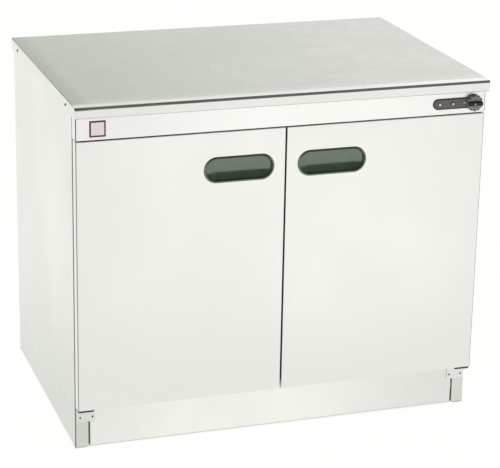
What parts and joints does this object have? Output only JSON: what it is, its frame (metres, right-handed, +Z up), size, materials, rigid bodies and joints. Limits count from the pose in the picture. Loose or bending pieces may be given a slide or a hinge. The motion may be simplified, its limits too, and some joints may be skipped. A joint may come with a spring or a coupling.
{
  "type": "food holding cabinet",
  "caption": "Floor-standing heated steel cupboard with a plain worktop, hinged double doors with recessed grips, a fascia with knob and lamps, and a heated cavity with a shelf.",
  "frame": {"origin": "centre of the whole cabinet's bounding box, at floor level under the feet", "axes": "+X to the right along the front, +Y from the doors to the back panel, +Z up"},
  "size_m": [1.07, 0.7672, 0.9],
  "materials": {
    "casing_steel": "satin stainless sheet",
    "worktop_steel": "fine-brushed stainless sheet",
    "liner_steel": "dull stainless sheet",
    "zinc": "zinc-plated steel",
    "handle_plastic": "dark green moulded plastic, semi-gloss",
    "control_plastic": "dark grey moulded plastic",
    "foot_nylon": "pale grey nylon",
    "dark_nylon": "black nylon",
    "insulation": "mineral wool slab",
    "element_sheath": "heat-darkened metal sheath",
    "clear_lens": "clear moulded lens over a white diffuser",
    "red_lens": "red moulded lens",
    "badge_face": "plain enamelled plate with a dark border",
    "control_body": "pale moulded insulating body"
  },
  "bodies": {
    "cabinet": {"back_panel": "casing_steel", "plinth_panel": "casing_steel", "header_rail": "casing_steel", "fascia_panel": "casing_steel", "side_panel_left": "casing_steel", "side_panel_right": "casing_steel", "hinge_bracket_lower_left": "casing_steel", "hinge_bracket_lower_right": "casing_steel", "worktop": "worktop_steel", "cavity_liner_back": "liner_steel", "cavity_roof": "liner_steel", "cavity_floor": "liner_steel", "shelf": "liner_steel", "element_rest": "liner_steel", "element_cover": "liner_steel", "cavity_liner_left": "liner_steel", "cavity_liner_right": "liner_steel", "shelf_rail_left": "liner_steel", "shelf_rail_right": "liner_steel", "thermostat_probe": "zinc", "hinge_bracket_upper_left": "zinc", "hinge_bracket_upper_right": "zinc", "hinge_pin_lower_left": "zinc", "hinge_pin_lower_right": "zinc", "hinge_pin_upper_left": "zinc", "hinge_pin_upper_right": "zinc", "control_bezel": "control_plastic", "foot_front_left": "foot_nylon", "foot_front_right": "foot_nylon", "foot_rear_left": "foot_nylon", "foot_rear_right": "foot_nylon", "hinge_pad_left": "dark_nylon", "hinge_pad_right": "dark_nylon", "magnetic_catch_left": "dark_nylon", "magnetic_catch_right": "dark_nylon", "cable_gland": "dark_nylon", "insulation_left": "insulation", "insulation_right": "insulation", "heating_element": "element_sheath", "lamp_power": "clear_lens", "lamp_heat": "red_lens", "badge_plate": "badge_face", "thermostat_body": "control_body", "terminal_block": "control_body"},
    "left_door": {"door_skin_left": "casing_steel", "door_liner_left": "liner_steel", "door_insulation_left": "insulation", "handle_cup_left": "handle_plastic", "strike_plate_left": "zinc", "hinge_bush_lower_left": "dark_nylon", "hinge_bush_upper_left": "dark_nylon"},
    "right_door": {"door_skin_right": "casing_steel", "door_liner_right": "liner_steel", "door_insulation_right": "insulation", "handle_cup_right": "handle_plastic", "strike_plate_right": "zinc", "hinge_bush_lower_right": "dark_nylon", "hinge_bush_upper_right": "dark_nylon"},
    "knob": {"control_knob": "control_plastic", "control_spindle": "zinc"}
  },
  "joints": [
    {"name": "left_door_hinge", "type": "hinge", "parent": "cabinet", "child": "left_door", "pos_m": [-0.518, -0.346, 0.463], "axis": [0, 0, -1], "range_deg": [0, 110]},
    {"name": "right_door_hinge", "type": "hinge", "parent": "cabinet", "child": "right_door", "pos_m": [0.518, -0.346, 0.463], "axis": [0, 0, 1], "range_deg": [0, 110]},
    {"name": "knob_turn", "type": "hinge", "parent": "cabinet", "child": "knob", "pos_m": [0.497, -0.3636, 0.841], "axis": [0, 1, 0], "range_deg": [0, 270]}
  ]
}
